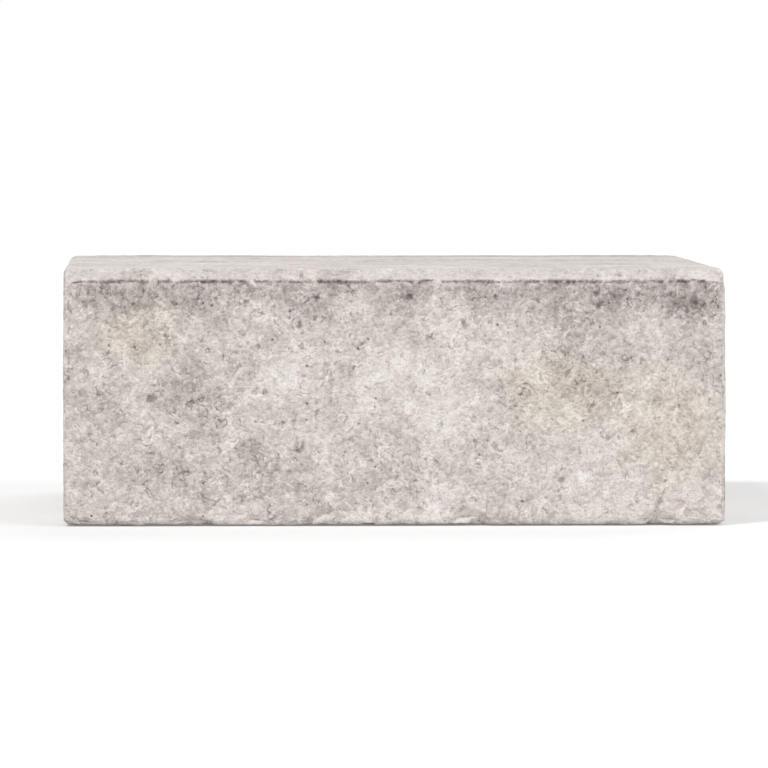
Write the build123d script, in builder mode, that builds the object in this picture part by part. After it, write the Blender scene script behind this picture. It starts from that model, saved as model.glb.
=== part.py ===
"""Walling stone: one solid cast-concrete unit of a dry-laid garden wall.

Sizes are in millimetres. X runs along the wall, Y through it and Z is up.
The origin is the middle of the bottom bed, which lies on the course below.
The face looks towards -Y, and the back, at +Y, is finished like it.
"""

from build123d import *
import os

# The stone as laid
length = 232.0  # along the wall, end to end
depth = 250.0  # through the wall, face to back
height = 90.0  # one course

# Chamfer along the top of the face and of the back, pressed in by the mould's head.
# The ends have none, so that the joint between two stones stays narrow right up to the bed.
chamfer_depth = 6.0  # how far it runs in over the top bed
chamfer_height = 4.0  # how far it runs down the face

# All arrises are soft, the two sides of the chamfer too: damp concrete slumps as it leaves the mould
arris_radius = 2.5

half_depth = depth / 2
chamfer_start = height - chamfer_height

with BuildPart() as walling_stone:
    # Section across the wall: the outline from the middle of the underside, round the face
    # and over the chamfer to the middle of the top bed, and its mirror image for the back
    with BuildSketch(Plane.YZ):
        with BuildLine():
            Polyline(
                (0, 0),
                (-half_depth, 0),
                (-half_depth, chamfer_start),
                (chamfer_depth - half_depth, height),
                (0, height),
            )
            mirror(about=Plane.YZ)
        make_face()
    extrude(amount=length / 2, both=True)

    # One radius everywhere, so that the arrises that meet at a corner run into one round nose
    fillet(walling_stone.edges(), arris_radius)

walling_stone.part.label = "walling_stone"

os.makedirs("parts", exist_ok=True)
export_step(walling_stone.part, "parts/walling_stone.step")

size = walling_stone.part.bounding_box().size
cubic_mm_per_litre = 1e6
litres = walling_stone.part.volume / cubic_mm_per_litre
print(f"walling stone {size.X:.1f} x {size.Y:.1f} x {size.Z:.1f} mm, {litres:.3f} litres")
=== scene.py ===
# %% [markdown]
# # A cast-concrete walling stone
#
# Garden walls of this kind are laid from solid blocks of pressed concrete, all one course high and
# of several lengths. A machine fills a steel mould with a damp mix of sand, grit and cement, shakes it,
# presses a head down on it and pushes the block out while it only just holds its shape.
# That leaves what the eye reads as "cast stone": flat faces that aren't quite flat, air holes, a crumbly
# line where the mould's head met its walls, soft worn arrises and a cloudy, sandy colour.
#
# The construction model already gives the block its true size, so this script loads it as a fixed frame
# and dresses it: one new surface takes its place, with the relief in the mesh and the sand in the material.

# %% Load the frame
import itertools

import bpy
import numpy as np
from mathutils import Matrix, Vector


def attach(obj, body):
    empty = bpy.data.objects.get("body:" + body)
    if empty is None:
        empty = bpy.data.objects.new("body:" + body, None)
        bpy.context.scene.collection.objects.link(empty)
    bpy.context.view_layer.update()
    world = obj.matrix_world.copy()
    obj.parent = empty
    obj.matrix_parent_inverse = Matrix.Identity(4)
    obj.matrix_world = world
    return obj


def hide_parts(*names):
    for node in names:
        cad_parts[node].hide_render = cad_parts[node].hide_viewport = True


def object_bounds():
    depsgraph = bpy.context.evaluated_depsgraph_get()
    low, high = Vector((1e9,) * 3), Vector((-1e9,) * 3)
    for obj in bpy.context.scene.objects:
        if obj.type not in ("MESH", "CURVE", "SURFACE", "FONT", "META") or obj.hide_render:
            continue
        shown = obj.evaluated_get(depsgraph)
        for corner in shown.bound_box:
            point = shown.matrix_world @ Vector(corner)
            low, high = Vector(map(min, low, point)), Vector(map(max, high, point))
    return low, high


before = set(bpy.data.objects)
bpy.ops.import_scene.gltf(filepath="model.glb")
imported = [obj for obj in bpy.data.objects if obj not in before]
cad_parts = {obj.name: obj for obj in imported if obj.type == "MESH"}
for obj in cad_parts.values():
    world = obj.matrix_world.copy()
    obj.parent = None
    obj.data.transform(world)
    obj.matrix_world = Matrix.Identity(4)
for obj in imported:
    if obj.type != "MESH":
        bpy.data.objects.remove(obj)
cad_low, cad_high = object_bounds()
print("construction box, m:", [round(x, 4) for x in (*cad_low, *cad_high)])

# %% [markdown]
# ## Sizes
#
# Shapes below are worked out in millimetres, because that is how a mould maker thinks, and turned into
# Blender's metres when they reach the mesh. The overall size is read from the frame. The edge sizes are
# those of the construction model: a chamfer along the top of the face and of the back, and one radius on
# all arrises. An arris is what a mason calls the edge between two faces of a stone.

# %% Driving sizes
MM = 0.001

length, depth, height = (np.array(cad_high) - np.array(cad_low)) / MM
half_length, half_depth = length / 2, depth / 2

chamfer_depth = 6.0
chamfer_height = 4.0
arris_radius = 2.5

print(f"stone {length:.1f} x {depth:.1f} x {height:.1f} mm")

# %% [markdown]
# ## Camera
#
# The photograph looks squarely at the face from about two and a half metres, from a little left of
# the stone's middle and just above its top, so that a sliver of the top bed shows. A long lens keeps the
# face undistorted. The camera simply points at the stone's middle: at this distance that tilts the view by
# two degrees, which can't be seen, and it needs no lens shift.

# %% Camera
# In metres: left of the stone's middle, away from its face, above its top
camera_left, camera_away, camera_above = 0.083, 2.6, 0.055
picture_width_at_stone = 0.280
farthest_seen = 200.0

camera_place = Vector((-camera_left, cad_low.y - camera_away, cad_high.z + camera_above))
stone_middle = (cad_low + cad_high) / 2

camera_data = bpy.data.cameras.new("camera")
camera = bpy.data.objects.new("camera", camera_data)
bpy.context.scene.collection.objects.link(camera)
bpy.context.scene.camera = camera

line_of_sight = stone_middle - camera_place
camera.location = camera_place
camera.rotation_euler = line_of_sight.to_track_quat("-Z", "Y").to_euler()
camera_data.lens = camera_data.sensor_width * line_of_sight.length / picture_width_at_stone
camera_data.clip_end = farthest_seen
print(f"lens {camera_data.lens:.0f} mm, {line_of_sight.length:.2f} m away")

# %% [markdown]
# ## Floor and light
#
# The photograph has a plain white ground and light from all sides, as from an overcast sky, with a little
# more from above and in front. A sky of even white gives the first, and broad suns give the second: a sun
# lights the whole floor alike, so the floor stays one even white out to the horizon.
# The strengths are chosen so that all the light on the face adds up to one, and a colour then
# renders as it is written. What makes the ground white is only what the camera sees there, so it puts no
# extra light on the stone, and the floor still takes the stone's shadow.

# %% A function that adds a shader node
def add_node(tree, kind, inputs=(), **settings):
    """Adds a node: settings are its own properties, and inputs are values or other nodes' outputs."""
    made = tree.nodes.new(kind)
    for name, value in settings.items():
        setattr(made, name, value)
    for socket, value in dict(inputs).items():
        if isinstance(value, bpy.types.NodeSocket):
            tree.links.new(value, made.inputs[socket])
        else:
            made.inputs[socket].default_value = value
    return made


# %% A function that reads a colour
def linear(hex_colour):
    """Turns a hex colour into linear red, green, blue and alpha by the sRGB curve, as shaders want it."""
    red_green_blue = np.array([int(hex_colour[i : i + 2], 16) for i in (1, 3, 5)]) / 255
    low = red_green_blue / 12.92
    high = ((red_green_blue + 0.055) / 1.055) ** 2.4
    return (*np.where(red_green_blue > 0.04045, high, low), 1.0)


# %% Sky
sky_light = 0.42

bpy.context.scene.view_settings.view_transform = "Standard"
world = bpy.data.worlds.new("studio")
bpy.context.scene.world = world
world.use_nodes = True
tree = world.node_tree
tree.nodes.clear()
rays = add_node(tree, "ShaderNodeLightPath")
mirrored = add_node(tree, "ShaderNodeMath", {0: rays.outputs["Is Glossy Ray"],
                                             1: rays.outputs["Is Transmission Ray"]}, operation="ADD")
seen = add_node(tree, "ShaderNodeMath", {0: rays.outputs["Is Camera Ray"], 1: mirrored.outputs[0]},
                operation="ADD", use_clamp=True)
strength = add_node(tree, "ShaderNodeMapRange", {"Value": seen.outputs[0],
                                                 "To Min": sky_light, "To Max": 1.0})
background = add_node(tree, "ShaderNodeBackground", {"Color": linear("#ffffff"),
                                                     "Strength": strength.outputs[0]})
add_node(tree, "ShaderNodeOutputWorld", {"Surface": background.outputs[0]})
print(f"the sky looks white and lights with {sky_light}")

# %% Suns
# Name, share of full light, compass angle from straight in front (to the right is plus), height, width
suns = [
    ("key", 0.46, -35, 48, 14),
    ("fill", 0.24, 50, 30, 40),
    ("back", 0.24, 160, 40, 40),
]

for name, share, across, above, spread in suns:
    lamp = bpy.data.lights.new(name, "SUN")
    lamp.energy = share * np.pi
    lamp.angle = np.radians(spread)
    sun = bpy.data.objects.new(name, lamp)
    bpy.context.scene.collection.objects.link(sun)
    around, up = np.radians(across), np.radians(above)
    towards_sun = Vector((np.sin(around) * np.cos(up), -np.cos(around) * np.cos(up), np.sin(up)))
    sun.rotation_euler = towards_sun.to_track_quat("Z", "Y").to_euler()
print("suns:", ", ".join(sun[0] for sun in suns))

# %% Floor
floor_half_size = 60.0
floor_white = 0.80
floor_seen_extra = 0.21

corner_signs = ((-1, -1), (1, -1), (1, 1), (-1, 1))
corners = [(x * floor_half_size, y * floor_half_size, cad_low.z) for x, y in corner_signs]
floor_mesh = bpy.data.meshes.new("floor")
floor_mesh.from_pydata(corners, [], [(0, 1, 2, 3)])
floor = bpy.data.objects.new("floor", floor_mesh)
bpy.context.scene.collection.objects.link(floor)

floor_paint = bpy.data.materials.new("floor_paint")
floor_paint.use_nodes = True
tree = floor_paint.node_tree
tree.nodes.clear()
rays = add_node(tree, "ShaderNodeLightPath")
matte = add_node(tree, "ShaderNodeBsdfDiffuse", {"Color": (floor_white, floor_white, floor_white, 1.0)})
extra = add_node(tree, "ShaderNodeMath", {0: rays.outputs["Is Camera Ray"], 1: floor_seen_extra},
                 operation="MULTIPLY")
glow = add_node(tree, "ShaderNodeEmission", {"Color": linear("#ffffff"), "Strength": extra.outputs[0]})
both = add_node(tree, "ShaderNodeAddShader", {0: matte.outputs[0], 1: glow.outputs[0]})
add_node(tree, "ShaderNodeOutputMaterial", {"Surface": both.outputs[0]})
floor_mesh.materials.append(floor_paint)
print(f"floor {2 * floor_half_size:.0f} m wide")

# %% [markdown]
# ## Grid lines
#
# The surface starts as six flat grids, one for each side of a plain sharp block. Their cells are smallest
# near the arrises, where the chips, the lip and the rounding are, and grow towards the middle of each side.
# The wanted distance between lines is a formula. One over it is how many lines there are per millimetre,
# and adding that up from one end numbers the lines, so reading it backwards gives their places.

# %% Lines that crowd at both ends
finest_cell = 0.5
widest_cell = 0.9
crowded_margin = 12.0
sample_count = 4001


def graded_lines(low, high):
    """Places from low to high, finest_cell apart at both ends and widest_cell apart in the middle.

    Over the margin the spacing grows by 3s^2 - 2s^3, which starts and ends level.
    """
    place = np.linspace(low, high, sample_count)
    from_end = np.minimum(place - low, high - place)
    share = np.clip(from_end / crowded_margin, 0, 1)
    spacing = finest_cell + (widest_cell - finest_cell) * share**2 * (3 - 2 * share)
    count = np.r_[0, np.cumsum(np.diff(place) / spacing[1:])]
    return np.interp(np.linspace(0, count[-1], int(round(count[-1])) + 1), count, place)


across = graded_lines(-half_length, half_length)
through = graded_lines(-half_depth, half_depth)
upright = graded_lines(0.0, height)
print(f"{len(across)} x {len(through)} x {len(upright)} lines")

# %% [markdown]
# ## One closed skin
#
# Each grid is laid out so that its first direction, turned towards its second by the right hand,
# points out of the block, and so do all its cells. The six sides share their border points, so points
# that fall on the same place are made one, and the skin is closed.

# %% Six sides of a sharp block
def side_grid(first, second, fixed_axis, fixed_at):
    """A flat grid on one side of the block: two runs of lines, and the coordinate that stays the same."""
    grid = list(np.meshgrid(first, second, indexing="ij"))
    grid.insert(fixed_axis, np.full_like(grid[0], fixed_at))
    return np.stack(grid, axis=-1)


def grid_cells(rows, columns):
    """The four-cornered cells of a grid, as numbers of its points."""
    number = np.arange(rows * columns).reshape(rows, columns)
    four = [number[:-1, :-1], number[1:, :-1], number[1:, 1:], number[:-1, 1:]]
    return np.stack(four, axis=-1).reshape(-1, 4)


same_place_decimals = 5
sides = [
    side_grid(across, upright, 1, -half_depth),
    side_grid(across[::-1], upright, 1, half_depth),
    side_grid(through, upright, 0, half_length),
    side_grid(through[::-1], upright, 0, -half_length),
    side_grid(across, through, 2, height),
    side_grid(across[::-1], through, 2, 0.0),
]

starts = np.cumsum([0] + [side.shape[0] * side.shape[1] for side in sides])
loose_points = np.vstack([side.reshape(-1, 3) for side in sides])
loose_cells = np.vstack([grid_cells(*side.shape[:2]) + start for side, start in zip(sides, starts)])
sharp_points, same_as = np.unique(loose_points.round(same_place_decimals), axis=0, return_inverse=True)
cells = same_as.reshape(-1)[loose_cells]
print(f"{len(sharp_points)} points, {len(cells)} cells")

# %% [markdown]
# ## Chamfer and round arrises
#
# Two moves turn the sharp block into the mould's shape. The first leans the top arris of face and back in:
# a corner of the grid folds flat onto the chamfer. The second rounds everything. Think of a smaller
# block inside, one radius away from every face, and of a ball of that radius rolled all over it: what
# the ball touches is the real skin. So every point asks for the nearest point of the inner block, and
# stands off from it by exactly the radius. The way it stands off is also the direction out of the skin.

# %% Lean the chamfer in
def lean_chamfer(points):
    """Moves the points round the top arris of face and back onto the chamfer.

    in_over and down say how far a point lies in over the bed and down the face, in chamfers. The chamfer
    is where they add up to one, and both get half of what the larger one lacks.
    """
    x, y, z = points.T
    in_over = (half_depth - np.abs(y)) / chamfer_depth
    down = (height - z) / chamfer_height
    push = np.clip(1 - np.maximum(in_over, down), 0, None) / 2
    leaned_y = np.sign(y) * (half_depth - chamfer_depth * (in_over + push))
    return np.column_stack([x, leaned_y, height - chamfer_height * (down + push)])


# %% The inner block's section, from the middle of its underside round to the middle of its top
inner_face, inner_top = half_depth - arris_radius, height - arris_radius
out_of_chamfer = np.array((chamfer_height, chamfer_depth)) / np.hypot(chamfer_height, chamfer_depth)
chamfer_away = out_of_chamfer @ (half_depth, height - chamfer_height) - arris_radius
inner_lip = (chamfer_away - out_of_chamfer[0] * inner_face) / out_of_chamfer[1]
inner_bed = (chamfer_away - out_of_chamfer[1] * inner_top) / out_of_chamfer[0]
inner_section = np.array([
    (0.0, arris_radius),
    (inner_face, arris_radius),
    (inner_face, inner_lip),
    (inner_bed, inner_top),
    (0.0, inner_top),
])
print("inner section, mm:", inner_section.round(2).tolist())


# %% Round the arrises
def nearest_in_section(through_and_up):
    """The inner section's nearest point: a point outside drops square onto the nearest of its sides."""
    nearest = through_and_up.copy()
    shortest = np.full(len(nearest), np.inf)
    for start, end in zip(inner_section[:-1], inner_section[1:]):
        run = end - start
        share = np.clip((through_and_up - start) @ run / (run @ run), 0, 1)
        dropped = start + share[:, None] * run
        away = np.linalg.norm(through_and_up - dropped, axis=1)
        nearest[away < shortest] = dropped[away < shortest]
        shortest = np.minimum(shortest, away)
    across_wall, up = through_and_up.T
    within = (across_wall <= inner_face) & (up >= arris_radius) & (up <= inner_top)
    within &= through_and_up @ out_of_chamfer <= chamfer_away
    nearest[within] = through_and_up[within]
    return nearest


def round_arrises(points):
    """The skin of a ball rolled round the inner block, and the direction out of it, for each point."""
    x, y, z = points.T
    inner_y, inner_z = nearest_in_section(np.column_stack([np.abs(y), z])).T
    inner_x = np.clip(x, arris_radius - half_length, half_length - arris_radius)
    inner = np.column_stack([inner_x, np.sign(y) * inner_y, inner_z])
    outwards = points - inner
    outwards /= np.linalg.norm(outwards, axis=1)[:, None]
    return inner + arris_radius * outwards, outwards


soft_points, outwards = round_arrises(lean_chamfer(sharp_points))
x, y, z = soft_points.T
corner_a, corner_b, corner_c = (soft_points[cells[:, i]] for i in (0, 1, 2))
turned_out = (np.cross(corner_b - corner_a, corner_c - corner_a) * outwards[cells[:, 0]]).sum(axis=1) > 0
print(f"cells that face outwards: {turned_out.mean():.1%}")

# %% [markdown]
# ## Seeded noise
#
# Nothing about cast concrete is regular, so every mark below is steered by noise. This is the classic
# gradient kind: space is cut into cubes, every cube corner gets a random slope, and a point blends the
# eight slopes round it. It works on whole arrays and in three dimensions, so a lump that starts
# on the face carries on over the arris. The seeds are fixed, and the stone comes out the same each time.
# A seed picks a pattern, and no two calls below share one.

# %% Random numbers for the cells of space
SCRAMBLE = np.array((73856093, 19349663, 83492791))
SEED_STEP = 7919
TABLE_SIZE = 1 << 14
NOISE_GAIN = 1.8
SLOPE_SEED = 11


def cell_number(cell, seed):
    """A repeatable scrambled number for each cell of space: its coordinates times large primes, mixed."""
    mixed = cell * SCRAMBLE
    mixed = mixed[:, 0] ^ mixed[:, 1] ^ mixed[:, 2] ^ (seed * SEED_STEP)
    return (mixed ^ (mixed >> 13)) & (TABLE_SIZE - 1)


slopes = np.random.default_rng(SLOPE_SEED).normal(size=(TABLE_SIZE, 3))
slopes /= np.linalg.norm(slopes, axis=1)[:, None]


def noise(lump, seed, points=soft_points):
    """Smooth noise from about -1 to 1, whose lumps are about lump mm across (one size, or one per axis).

    Each corner of a point's cube gives its slope times the way from that corner, and the eight
    are blended by 6t^5 - 15t^4 + 10t^3, which starts and ends level.
    """
    place = points / lump
    cell = np.floor(place).astype(np.int64)
    way = place - cell
    fade = way**3 * (way * (way * 6 - 15) + 10)
    total = np.zeros(len(points))
    for step in itertools.product((0, 1), repeat=3):
        weight = np.where(step, fade, 1 - fade).prod(axis=1)
        slope = slopes[cell_number(cell + step, seed)]
        total += weight * (slope * (way - step)).sum(axis=1)
    return np.clip(total * NOISE_GAIN, -1, 1)


def from_zero(values):
    """Turns noise from -1 to 1 into a share from 0 to 1."""
    return (1 + values) / 2


# %% [markdown]
# ## Relief of the cast surface
#
# The mould is steel, yet the block isn't flat: the mix settles, swells a little when it is
# pushed out and carries its sand to the surface. Relief is added inwards only, because the mould
# limits the block from outside, and the construction size stays the largest size.
# Five sizes of lump do it, from a broad wave over the hand's width down to grit. The pressed top
# is the smoothest side and the underside, which stood on a board, is the roughest. On the two ends the
# mould's wall dragged upright streaks as the block was pushed out.

# %% Waves, lumps and grit
# Lump size and height in mm
unevenness = [(75.0, 0.35), (22.0, 0.24), (8.0, 0.18), (4.0, 0.22), (2.0, 0.20)]
streak_lump = (60.0, 2.6, 70.0)
streak_height = 0.16
top_smoothness = 0.7
underside_roughness = 1.7

upwards = np.clip(outwards[:, 2], 0, 1)
downwards = np.clip(-outwards[:, 2], 0, 1)
endwards = np.abs(outwards[:, 0])
roughness_here = 1 + (top_smoothness - 1) * upwards + (underside_roughness - 1) * downwards

lumps = sum(from_zero(noise(lump, seed)) * rise for seed, (lump, rise) in enumerate(unevenness))
relief = lumps * roughness_here
relief += from_zero(noise(streak_lump, seed=20)) * streak_height * endwards
print(f"waves and grit: {relief.max():.2f} mm at most")

# %% [markdown]
# ## Air holes
#
# A damp mix traps air. A bubble that touched the mould shows as a hole where the wall cut it open.
# So the holes are made the same way: one bubble, or none, hides at a random place in every cube of
# space, and the skin sinks wherever it runs through one. A bubble that is only just touched leaves a
# small dent, so all sizes come out by themselves. The sand round a hole crumbles, so the space
# is bent by fine noise first, which makes the holes ragged instead of round. The large ones are
# torn out of shape by a coarser noise as well. The underside, which only lay on its board, also has
# open holes of all sizes.

# %% Bubbles cut open by the skin
def bubble_depth(points, cube, radii, share, seed):
    """How deep each point lies in the nearest bubble: the height of a ball above its middle plane.

    Each cube has five random numbers: three for the bubble's place, one for its radius and one for
    whether it is there. Small ones are commoner because the radius takes the square of its number.
    A point looks into its own cube and the 26 round it.
    """
    lots = np.random.default_rng(seed).random((TABLE_SIZE, 5))
    cell = np.floor(points / cube).astype(np.int64)
    deepest = np.zeros(len(points))
    for step in itertools.product((-1, 0, 1), repeat=3):
        lot = lots[cell_number(cell + step, seed)]
        radius = radii[0] + (radii[1] - radii[0]) * lot[:, 3] ** 2
        centre = (cell + step + lot[:, :3]) * cube
        left_over = radius**2 - ((points - centre) ** 2).sum(axis=1)
        inside = (left_over > 0) & (lot[:, 4] < share)
        deepest = np.maximum(deepest, np.where(inside, np.sqrt(np.maximum(left_over, 0)), 0))
    return deepest


# How far the two noises move space, and the size of their lumps, in mm
raggedness, ragged_lump = 0.55, 2.4
tearing, torn_lump = 1.8, 5.0
hole_flatness = 0.7
# Open holes are full where downwards is 1, and gone where it is 1 - 1 / underside_parts or less
underside_parts = 5
seen_hole = 0.2

bent = soft_points + raggedness * np.column_stack([noise(ragged_lump, seed) for seed in (28, 29, 30)])
torn = bent + tearing * np.column_stack([noise(torn_lump, seed) for seed in (35, 36, 37)])
small_holes = bubble_depth(bent, cube=6.0, radii=(0.6, 1.4), share=0.16, seed=31)
large_holes = bubble_depth(torn, cube=18.0, radii=(1.0, 2.0), share=0.14, seed=32)
open_holes = bubble_depth(torn, cube=6.0, radii=(0.6, 2.6), share=0.40, seed=33)
open_holes *= np.clip(underside_parts * downwards - (underside_parts - 1), 0, 1)
air_holes = hole_flatness * np.maximum(np.maximum(small_holes, large_holes), open_holes)
print(f"air holes over {(air_holes > seen_hole).mean():.1%} of the skin, {air_holes.max():.1f} mm deep")

# %% [markdown]
# ## Worn arrises and the crumbly lip
#
# Fresh edges are the weakest part of a block. They lose grains everywhere, more at the corners and most
# at the four upper ones, and small chips here and there, from the mould, the strapping and the laying.
# Just below the chamfer runs a broken line of small gaps, the lip: there the mould's head met its walls,
# and the mix never quite closed. It stops short of the ends, where the corners of the mould packed the
# mix tighter. All of this follows the distance from the sharp edges that the block would have had.

# %% Distances from the arrises
lip_height = height - chamfer_height

from_end = half_length - np.abs(x)
from_face = half_depth - np.abs(y)
from_outline = np.minimum(from_end, from_face)
from_upright = np.hypot(from_end, from_face)
from_foot = np.hypot(from_outline, z)
below_top = height - z - np.clip(1 - from_face / chamfer_depth, 0, 1) * chamfer_height
from_end_top = np.hypot(from_end, below_top)
from_lip = np.hypot(from_face, z - lip_height)
from_arris = np.minimum.reduce([from_upright, from_foot, from_end_top, from_lip])

# %% Worn grains
# In mm, how far the wear reaches from an arris, a corner and an upper corner, and how deep it goes there
wear_reach, wear_rise = 2.4, 0.45
corner_reach, corner_rise = 4.5, 0.9
upper_reach, upper_rise = 6.5, 1.5
# Noise steers how deep it goes. An upper corner always loses at least this share of its own depth.
upper_least = 0.4
crumbling_lump = 3.0
# Crumbs are where a worn arris shows its pale sand: lump size, and gain and start of their noise
crumb_lump, crumb_gain, crumb_start = 1.8, 1.6, 0.3

at_arris = np.exp(-((from_arris / wear_reach) ** 2))
crumbling = from_zero(noise(crumbling_lump, seed=40))
crumbs = np.clip(crumb_gain * noise(crumb_lump, seed=46) + crumb_start, 0, 1)
from_corner = np.hypot(from_upright, np.minimum(z, np.abs(z - lip_height)))
from_upper = np.hypot(from_upright, height - z)
wear = wear_rise * crumbling * at_arris
wear += corner_rise * crumbling * np.exp(-((from_corner / corner_reach) ** 2))
wear += upper_rise * (upper_least + crumbling) * np.exp(-((from_upper / upper_reach) ** 2))
print(f"worn by {wear.max():.1f} mm at most")

# %% Chips
# A chip is a slanted cut: deepest at the arris, and nothing at its own reach from there. Its reach is
# noise, less a start value that leaves most of the arris whole, and a finer noise makes its edge ragged.
chip_reach, chip_start, chip_slope = 14.0, 0.30, 0.45
chip_lump = 12.0
chip_edge_lump, chip_edge = 4.0, 0.35
seen_chip = 0.1

chip_size = noise(chip_lump, seed=41) + chip_edge * noise(chip_edge_lump, seed=42) - chip_start
chip_size = chip_reach * np.clip(chip_size, 0, 1)
from_chipped = np.minimum.reduce([from_upright, from_foot, from_end_top])
chips = chip_slope * np.clip(chip_size - from_chipped, 0, None)
print(f"chips {chips.max():.1f} mm deep, on {(chips > seen_chip).mean():.1%} of the skin")

# %% The lip below the chamfer
# How far it lies below the chamfer's edge and wanders from there, and its half width and depth, in mm
lip_drop, lip_wander = 0.5, 0.35
lip_half_width, lip_rise = 0.60, 0.8
# It thins out from this far away from the ends, and is gone at half of that
lip_stop = 5.0
# How full the line is, and how strongly long and short breaks change that
fullness, long_gain, short_gain = 0.75, 1.2, 1.0
# Lump sizes along, through and up, in mm. The lip's course and width change mostly along the wall.
long_break, short_break = (3.0, 4.5, 30.0), (1.3, 4.5, 3.0)
wave, ripple, swelling = (5.0, 20.0, 60.0), (1.7, 20.0, 60.0), (2.5, 20.0, 60.0)
ripple_share, swelling_share = 0.6, 0.5

fullness_here = fullness + long_gain * noise(long_break, seed=43) + short_gain * noise(short_break, seed=44)
broken_line = np.clip(fullness_here, 0, 1)
broken_line *= np.clip((from_end - lip_stop / 2) / (lip_stop / 2), 0, 1) * (from_face < chamfer_depth)
wander = noise(wave, seed=45) + ripple_share * noise(ripple, seed=48)
lip_middle = lip_height - lip_drop + lip_wander * wander
lip_width = lip_half_width * (1 + swelling_share * noise(swelling, seed=47))
lip = np.exp(-(((z - lip_middle) / lip_width) ** 2)) * broken_line
print(f"lip over {lip.mean():.2%} of the skin")

# %% [markdown]
# ## Put the relief into the skin
#
# Every point moves in along its own direction. The three largest holes of the face are placed one by one,
# where they catch the eye; all the others are left to chance. Then the underside comes back out until
# its least sunk point lies on the floor.

# %% Holes placed one by one on the face
# Across from the middle, height above the bed, radius, depth, in mm
face_holes = [(5.0, 79.5, 2.0, 0.8), (71.5, 77.0, 1.9, 0.9), (104.5, 78.0, 1.8, 0.8)]
hole_steepness = 1.8
hole_edge_lump, hole_edge_gain = 2.5, 0.5
# The underside is where the skin looks this nearly straight down
straight_down = 0.99

on_face = np.clip(-outwards[:, 1], 0, 1)
placed_holes = np.zeros(len(soft_points))
hole_edge = hole_edge_gain * noise(hole_edge_lump, seed=50)
for hole_x, hole_z, radius, sunk in face_holes:
    away = np.hypot(x - hole_x, z - hole_z) / radius + hole_edge
    placed_holes = np.maximum(placed_holes, np.clip(hole_steepness * (1 - away), 0, 1) * sunk * on_face)

sunk_in = relief + np.maximum(air_holes, placed_holes) + wear + chips + lip * lip_rise
sunk_in = np.maximum(sunk_in - sunk_in[downwards > straight_down].min() * downwards, 0)
cast_points = soft_points - outwards * sunk_in[:, None]
print(f"skin sunk by {np.median(sunk_in):.2f} mm in the middle, {sunk_in.max():.2f} mm at most")


# %% A mesh from points and cells
def mesh_from(name, points_mm, cells):
    """A smooth-shaded mesh in metres from points in millimetres and four-cornered cells."""
    mesh = bpy.data.meshes.new(name)
    mesh.vertices.add(len(points_mm))
    mesh.vertices.foreach_set("co", (points_mm * MM).astype(np.float32).ravel())
    mesh.loops.add(cells.size)
    mesh.loops.foreach_set("vertex_index", cells.astype(np.int32).ravel())
    mesh.polygons.add(len(cells))
    mesh.polygons.foreach_set("loop_start", np.arange(0, cells.size, 4, dtype=np.int32))
    mesh.update(calc_edges=True)
    mesh.validate()
    mesh.polygons.foreach_set("use_smooth", np.ones(len(cells), bool))
    return mesh


stone_mesh = mesh_from("walling_stone_cast", cast_points, cells)
print(f"{len(stone_mesh.polygons)} cells in the mesh")

# %% [markdown]
# ## Marks that the material will read
#
# Colour follows the shape: holes and gaps get painted shade and some dirt, and worn arrises show paler
# sand.
# These are kept on the mesh's points as named attributes. So are the marks that belong to
# this one stone: a pale bloom in the middle of the face, a darker band under its top, a few damp spots and
# three tan stains, with painted light along the foot of the face and painted shade along the back of the
# top bed. Each is one soft round spot, and noise bends its edge so that it looks grown. The other sides get
# their clouds and stains from noise alone.
# The last mark is where the mould's head pressed: it squeezed cement paste up, so the chamfer and the bed
# have a paler and quieter skin than the sides, worn off in patches.

# %% Clouds on the face
# Across from the middle, height, half width, half height in mm, then strength: plus is paler
face_clouds_and_shading = [
    (0, 85, 160, 8, -1.2),
    (0, 50, 40, 20, 0.9),
    # Painted light: a pale band along the foot that lifts the shade falling there
    (0, 6, 130, 8, 0.6),
    (-36, 42, 14, 26, 0.7),
    (-86, 81, 16, 8, -1.1),
    (33, 64, 9, 6, 0.6),
    (16, 45, 12, 7, 0.5),
    (-110, 63, 6, 10, 0.7),
    (70, 14, 40, 14, 0.5),
    (88, 78, 22, 8, -1.0),
    (-46, 79, 20, 9, 0.6),
    (-106, 79, 12, 8, -0.8),
    (108, 80, 12, 9, -1.5),
    (46, 44, 20, 10, -0.5),
    (-58, 10, 11, 8, -0.6),
    (84, 48, 10, 22, 0.65),
    (57, 61, 9, 9, -0.5),
    (106, 63, 8, 9, -0.7),
    (102, 12, 16, 8, 0.5),
    (-69, 44, 8, 7, -0.9),
    (-50, 24, 8, 6, -0.9),
    (-80, 15, 8, 6, -0.7),
    (-2, 15, 7, 5, -0.8),
    (91, 33, 9, 5, -0.6),
]
# The same for the tan stains, with only the strength of the tan
tan_stains = [(-91, 67, 13, 11, 0.9), (58, 48, 24, 11, 0.9), (98, 33, 18, 20, 0.8)]
# The same on the top bed: across and back from the middle, half width, half depth
bed_clouds_and_shading = [
    # Painted shade along the back of the top bed, where the bed turns away from the light
    (0, 124, 170, 36, -2.6),
    (-62, -38, 34, 26, 0.6),
    (44, 22, 30, 24, -0.6),
    (70, -70, 26, 20, 0.5),
]

# %% Soft spots with bent edges
# How far the edges are bent, and the size of the large and small bends, in mm
cloud_bend, large_bend, small_bend = 6.0, 14.0, 5.0

bend_across = cloud_bend * (noise(large_bend, seed=60) + noise(small_bend, seed=61) / 2)
bend_up = cloud_bend * (noise(large_bend, seed=62) + noise(small_bend, seed=63) / 2)


def soft_spots(spots, up):
    """Adds up round spots: each falls off as e to the minus distance squared, in its own half widths."""
    total = np.zeros(len(soft_points))
    for spot_across, spot_up, half_width, half_high, strength in spots:
        off_across = (x + bend_across - spot_across) / half_width
        off_up = (up + bend_up - spot_up) / half_high
        total += strength * np.exp(-(off_across**2 + off_up**2))
    return total


# %% The pressed skin
# It starts at the chamfer's lower edge and is whole this many mm above it. The edge wanders by the
# second number, in lumps of the third.
pressed_edge, pressed_wander, wander_lump = 0.8, 0.4, 2.5
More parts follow.
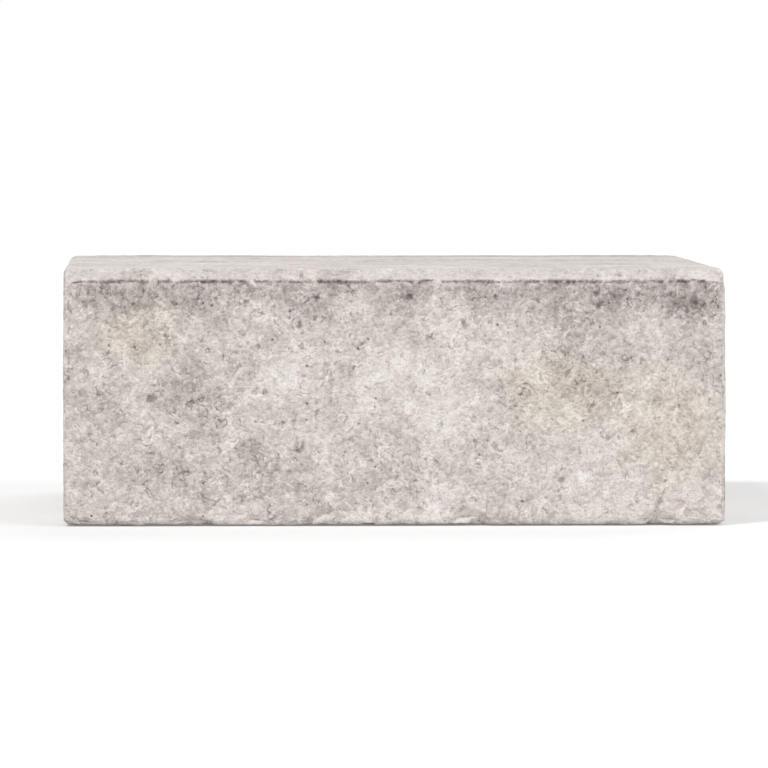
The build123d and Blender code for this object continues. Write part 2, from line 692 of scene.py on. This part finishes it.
# It is whole where upwards is 1 / lean_gain or more, and gone where the skin stands upright
lean_gain = 2
# Worn patches: lump sizes in mm, their gains, and the largest share that is worn off
patch_lump, patch_edge_lump = 26.0, 7.0
patch_gain, patch_edge_gain, most_worn = 1.2, 0.6, 0.7

above_lip = z - lip_height + pressed_wander * noise(wander_lump, seed=64)
pressed = np.clip(above_lip / pressed_edge, 0, 1) * np.clip(lean_gain * upwards, 0, 1)
worn_off = patch_gain * noise(patch_lump, seed=68) + patch_edge_gain * noise(patch_edge_lump, seed=69)
pressed *= 1 - np.clip(worn_off, 0, most_worn)
print(f"pressed skin over {pressed.mean():.1%}")

# %% Clouds and stains of the other sides
# Lump sizes in mm, and how strong the small clouds are beside the large ones
large_cloud, small_cloud, small_cloud_gain = 45.0, 16.0, 0.6
# Lump size, gain and start of the stains' noise, and the strongest stain
stain_lump, stain_gain, stain_start, most_stained = 38.0, 1.5, 0.35, 0.6

other_clouds = noise(large_cloud, seed=65) + small_cloud_gain * noise(small_cloud, seed=66)
other_stains = np.clip(stain_gain * noise(stain_lump, seed=67) - stain_start, 0, most_stained)
print(f"stains by noise: {other_stains.mean():.2f} on average")

# %% All marks
# A hole's painted shade, with some dirt, is as dark as it gets from this depth in mm
full_depth = 0.9
# How dark the listed holes are beside the others, and how dark the lip is
placed_share, lip_share = 0.7, 2.1
# How pale a worn arris is all along, the rest being in crumbs, and how pale a chip is per mm of depth
worn_least, chip_share = 0.25, 0.8

# Painted shade, with some dirt: darker in the holes and along the lip under the chamfer
cavity_shade_and_dirt = (air_holes + placed_share * placed_holes) / full_depth + lip_share * lip
worn = at_arris * (worn_least + (1 - worn_least) * crumbs) + chip_share * chips
side_cloud_and_shading = soft_spots(face_clouds_and_shading, z) * on_face + other_clouds * (1 - on_face)
side_tan = soft_spots(tan_stains, z) * on_face + other_stains * (1 - on_face)
marks = {
    "cavity_shade_and_dirt": np.clip(cavity_shade_and_dirt, 0, 1),
    "wear": np.clip(worn, 0, 1),
    "cloud_and_shading": side_cloud_and_shading * (1 - pressed) + soft_spots(bed_clouds_and_shading, y) * pressed,
    "tan": np.clip(side_tan, 0, 1) * (1 - pressed),
    "pressed": pressed,
}
for name, values in marks.items():
    attribute = stone_mesh.attributes.new(name, "FLOAT", "POINT")
    attribute.data.foreach_set("value", values.astype(np.float32))
    print(f"{name}: {values.min():.2f} to {values.max():.2f}")

# %% [markdown]
# ## Thin the mesh
#
# Over half a million triangles is more than a part should carry, and most lie on nearly flat concrete.
# The Decimate modifier removes the points that matter least first, so the chips, holes and arrises keep
# theirs. It is applied at once, because the finished mesh is what everything later reads.

# %% Keep the triangles that matter
triangle_limit = 196000

stone = bpy.data.objects.new("walling_stone_cast", stone_mesh)
bpy.context.scene.collection.objects.link(stone)
thin = stone.modifiers.new("thin", "DECIMATE")
thin.ratio = triangle_limit / (2 * len(cells))
evaluated = stone.evaluated_get(bpy.context.evaluated_depsgraph_get())
stone.data = bpy.data.meshes.new_from_object(evaluated)
stone.modifiers.clear()
stone.data.name = "walling_stone_cast"
triangles = sum(len(polygon.vertices) - 2 for polygon in stone.data.polygons)
print(f"{triangles} triangles kept")

# %% [markdown]
# ## Cast concrete
#
# Up close, dry-pressed concrete is sand in a pale grey cement: grains of about a millimetre, each of
# its own tone, pin holes between them, darkened with painted shade, and here and there a dark or a
# quartz-white grain. Further away the cement's own cloudiness takes over, in patches of a centimetre and of
# a hand's width.
# The eye needs all of these sizes at about the same strength, so each is one layer, with its scale
# worked out from its real size. The layers are added up to one number, the tone, and a colour ramp turns
# the tone into concrete from damp grey to lime white.

# %% Tones and layers
concrete_tones = [
    (0.0, "#6f6662"),
    (0.25, "#a39a95"),
    (0.5, "#cec5c0"),
    (0.75, "#ebe3dd"),
    (1.0, "#f8f3ef"),
]
# Name, size in mm, detail, how far it curls, strength as a share of the whole ramp
noise_layers = [
    ("hand-wide clouds", 60.0, 2.0, 0.0, 0.38),
    ("thumb-wide clouds", 17.0, 2.0, 0.4, 0.42),
    ("mottling", 6.0, 2.0, 0.8, 0.52),
    ("curdled paste", 3.2, 1.0, 2.0, 0.32),
    ("grit", 1.6, 1.0, 0.4, 0.24),
    ("fine sand", 0.6, 1.0, 0.0, 0.24),
]
# Name, size in mm, curl, half width as a share of the noise, how long the strokes are in mm, strength
creases = [
    ("dark commas", 6.0, 1.2, 0.048, 6.0, -0.28),
    ("pale curls", 7.5, 1.5, 0.042, 9.0, 0.24),
]
# A stroke fades in between these two values of its noise
stroke_edges = (0.51, 0.59)
sand_size = 1.1
sand_strength = 0.22
# Name, one in a cube of this size, largest radius in mm, share of cubes that hold one, strength
specks = [
    # The pin holes' dark is painted shade
    ("pin holes", 3.0, 0.55, 0.30, -0.34),
    ("dark grains", 2.4, 0.55, 0.35, -0.18),
    ("quartz grains", 2.8, 0.60, 0.35, 0.20),
]
speck_softness = 0.30
cloud_and_shading_strength = 0.15
# Painted shade, with some dirt, in the holes and along the lip
cavity_shade_and_dirt_strength = -0.34
wear_strength = 0.16


def per_metre(size_mm):
    """The texture scale that gives lumps of size_mm, on coordinates in metres."""
    return 1 / (size_mm * MM)


# %% The concrete material: where the pattern sits
# Grains and pin holes are round cells, so their places are bent a little to make them ragged.
ragged_size = 1.5
ragged_reach = 0.9 * MM

concrete = bpy.data.materials.new("cast_concrete")
concrete.use_nodes = True
tree = concrete.node_tree
tree.nodes.clear()
place = add_node(tree, "ShaderNodeTexCoord").outputs["Object"]
ragged = add_node(tree, "ShaderNodeTexNoise", {
    "Vector": place, "Scale": per_metre(ragged_size), "Detail": 1.0,
})
bent_place = add_node(tree, "ShaderNodeVectorMath", {
    0: ragged.outputs["Color"], 1: (ragged_reach, ragged_reach, ragged_reach), 2: place,
}, operation="MULTIPLY_ADD").outputs[0]

# %% Noise and sand
# Each layer is a value, its strength, and the value at which it changes nothing: the middle for
# noise and sand, and zero for marks that are there or not
in_middle, not_there = 0.5, 0.0

layers = []
for name, size, detail, curl, strength in noise_layers:
    texture = add_node(tree, "ShaderNodeTexNoise", {
        "Vector": place, "Scale": per_metre(size), "Detail": detail, "Distortion": curl,
    }, label=name)
    layers.append((texture.outputs[0], strength, in_middle))
fine_sand = layers[-1][0]

sand = add_node(tree, "ShaderNodeTexVoronoi", {
    "Vector": bent_place, "Scale": per_metre(sand_size),
}, label="sand")
sand_tone = add_node(tree, "ShaderNodeSeparateColor", {0: sand.outputs["Color"]}).outputs[0]
layers.append((sand_tone, sand_strength, in_middle))
print(f"{len(layers)} layers of noise and sand")

# %% Creases between the curds
# Where a noise passes through its middle value it draws curled lines. A second noise keeps short strokes
# of them, like the dark commas and pale curls between the curds of the paste.
for name, size, curl, half_width, stroke, strength in creases:
    lines = add_node(tree, "ShaderNodeTexNoise", {
        "Vector": bent_place, "Scale": per_metre(size), "Detail": 1.0, "Distortion": curl,
    }, label=name)
    away = add_node(tree, "ShaderNodeMath", {0: lines.outputs[0], 1: in_middle}, operation="SUBTRACT")
    away = add_node(tree, "ShaderNodeMath", {0: away.outputs[0]}, operation="ABSOLUTE")
    on_line = add_node(tree, "ShaderNodeMapRange", {
        "Value": away.outputs[0], "From Max": half_width, "To Min": 1.0, "To Max": 0.0,
    }, interpolation_type="SMOOTHSTEP")
    patches = add_node(tree, "ShaderNodeTexNoise", {
        "Vector": bent_place, "Scale": per_metre(stroke), "Detail": 2.0, "Roughness": 0.6,
    })
    kept = add_node(tree, "ShaderNodeMapRange", {
        "Value": patches.outputs[0], "From Min": stroke_edges[0], "From Max": stroke_edges[1],
    })
    crease = add_node(tree, "ShaderNodeMath", {0: on_line.outputs[0], 1: kept.outputs[0]},
                      operation="MULTIPLY")
    layers.append((crease.outputs[0], strength, not_there))
print("creases:", ", ".join(crease[0] for crease in creases))

# %% Specks: pin holes and odd grains
# Each cell draws a lot. Only the highest lots reach above zero and become a speck, of that radius.
speck_values = {}
for name, size, radius, share, strength in specks:
    cell = add_node(tree, "ShaderNodeTexVoronoi", {
        "Vector": bent_place, "Scale": per_metre(size),
    }, label=name)
    lot = add_node(tree, "ShaderNodeSeparateColor", {0: cell.outputs["Color"]}).outputs[0]
    reach = add_node(tree, "ShaderNodeMath", {
        0: lot, 1: radius / size / share, 2: radius / size * (1 - 1 / share),
    }, operation="MULTIPLY_ADD").outputs[0]
    inside = add_node(tree, "ShaderNodeMath", {0: reach, 1: cell.outputs["Distance"]}, operation="SUBTRACT")
    value = add_node(tree, "ShaderNodeMath", {0: inside.outputs[0], 1: size / (radius * speck_softness)},
                     operation="MULTIPLY", use_clamp=True).outputs[0]
    speck_values[name] = value
    layers.append((value, strength, not_there))
print("specks:", ", ".join(speck_values))

# %% Marks from the mesh, and the sum of all layers
# The sum starts lower by what the layers add where they change nothing, so the middle tone stays there
middle_tone = 0.545

# The cloud mark carries painted light along the foot of the face and painted shade at the back of the top
# bed, and the cavity mark carries painted shade with some dirt
for name, strength in [("cloud_and_shading", cloud_and_shading_strength), ("cavity_shade_and_dirt", cavity_shade_and_dirt_strength), ("wear", wear_strength)]:
    mark = add_node(tree, "ShaderNodeAttribute", attribute_name=name)
    layers.append((mark.outputs["Fac"], strength, not_there))

tone = middle_tone - sum(strength * resting for _, strength, resting in layers)
for value, strength, _ in layers:
    tone = add_node(tree, "ShaderNodeMath", {0: value, 1: strength, 2: tone},
                    operation="MULTIPLY_ADD").outputs[0]
print(f"{len(layers)} layers in the tone")

# %% Tone of the pressed skin
# It is drawn part of the way from the layers' tone to one pale tone, so it is paler and quieter. A mix
# node numbers its sockets by kind: 0 is the share, 2 and 3 are two numbers, 6 and 7 are two colours.
pressed_tone = 0.65
pressed_share = 0.4

mark = add_node(tree, "ShaderNodeAttribute", attribute_name="pressed")
share = add_node(tree, "ShaderNodeMath", {0: mark.outputs["Fac"], 1: pressed_share}, operation="MULTIPLY")
tone = add_node(tree, "ShaderNodeMix", {0: share.outputs[0], 2: tone, 3: pressed_tone}).outputs[0]

# %% From tone to colour
ramp = add_node(tree, "ShaderNodeValToRGB", {0: tone})
stops = ramp.color_ramp.elements
for position, _ in concrete_tones[1:-1]:
    stops.new(position)
for stop, (position, colour) in zip(stops, concrete_tones):
    stop.position = position
    stop.color = linear(colour)

# %% Tints
# Iron in the sand stains the cement tan, and the pressed skin is a little greyer, being richer in cement.
# A tint multiplies the colour, so the grain shows through it.
# Mark, what the middle grey looks like under it, share
tints = [("tan", "#cec4b8", 0.8), ("pressed", "#cdc5c1", 1.0)]
middle_grey = concrete_tones[2][1]

colour = ramp.outputs[0]
for name, seen_as, share in tints:
    mark = add_node(tree, "ShaderNodeAttribute", attribute_name=name)
    amount = add_node(tree, "ShaderNodeMath", {0: mark.outputs["Fac"], 1: share}, operation="MULTIPLY")
    tint = np.array(linear(seen_as)) / np.array(linear(middle_grey))
    colour = add_node(tree, "ShaderNodeMix", {0: amount.outputs[0], 6: colour, 7: tuple(tint)},
                      data_type="RGBA", blend_type="MULTIPLY").outputs[2]

# %% Surface of the concrete
# Grains stand proud by about a third of a millimetre and pin holes sink in, too fine for the mesh.
# The distance from a grain's middle lowers the bump, and so does a pin hole.
grain_rise = 0.38 * MM
away_from_grain, in_pin_hole = -0.8, -1.5
roughness_of_pale, roughness_of_dark = 0.86, 0.97

grain_bump = add_node(tree, "ShaderNodeMath", {
    0: sand.outputs["Distance"], 1: away_from_grain, 2: fine_sand,
}, operation="MULTIPLY_ADD").outputs[0]
grain_bump = add_node(tree, "ShaderNodeMath", {
    0: speck_values["pin holes"], 1: in_pin_hole, 2: grain_bump,
}, operation="MULTIPLY_ADD").outputs[0]
bump = add_node(tree, "ShaderNodeBump", {"Height": grain_bump, "Distance": grain_rise, "Strength": 1.0})
dryness = add_node(tree, "ShaderNodeMapRange", {
    "Value": tone, "To Min": roughness_of_dark, "To Max": roughness_of_pale,
})
surface = add_node(tree, "ShaderNodeBsdfPrincipled", {
    "Base Color": colour,
    "Roughness": dryness.outputs[0],
    "Normal": bump.outputs[0],
    "IOR": 1.5,
    "Specular IOR Level": 0.35,
})
add_node(tree, "ShaderNodeOutputMaterial", {"Surface": surface.outputs[0]})
stone.data.materials.clear()
stone.data.materials.append(concrete)
print(f"{len(tree.nodes)} nodes in the concrete")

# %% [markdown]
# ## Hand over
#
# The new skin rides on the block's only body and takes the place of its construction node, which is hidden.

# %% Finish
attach(stone, "root")
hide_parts("walling_stone")
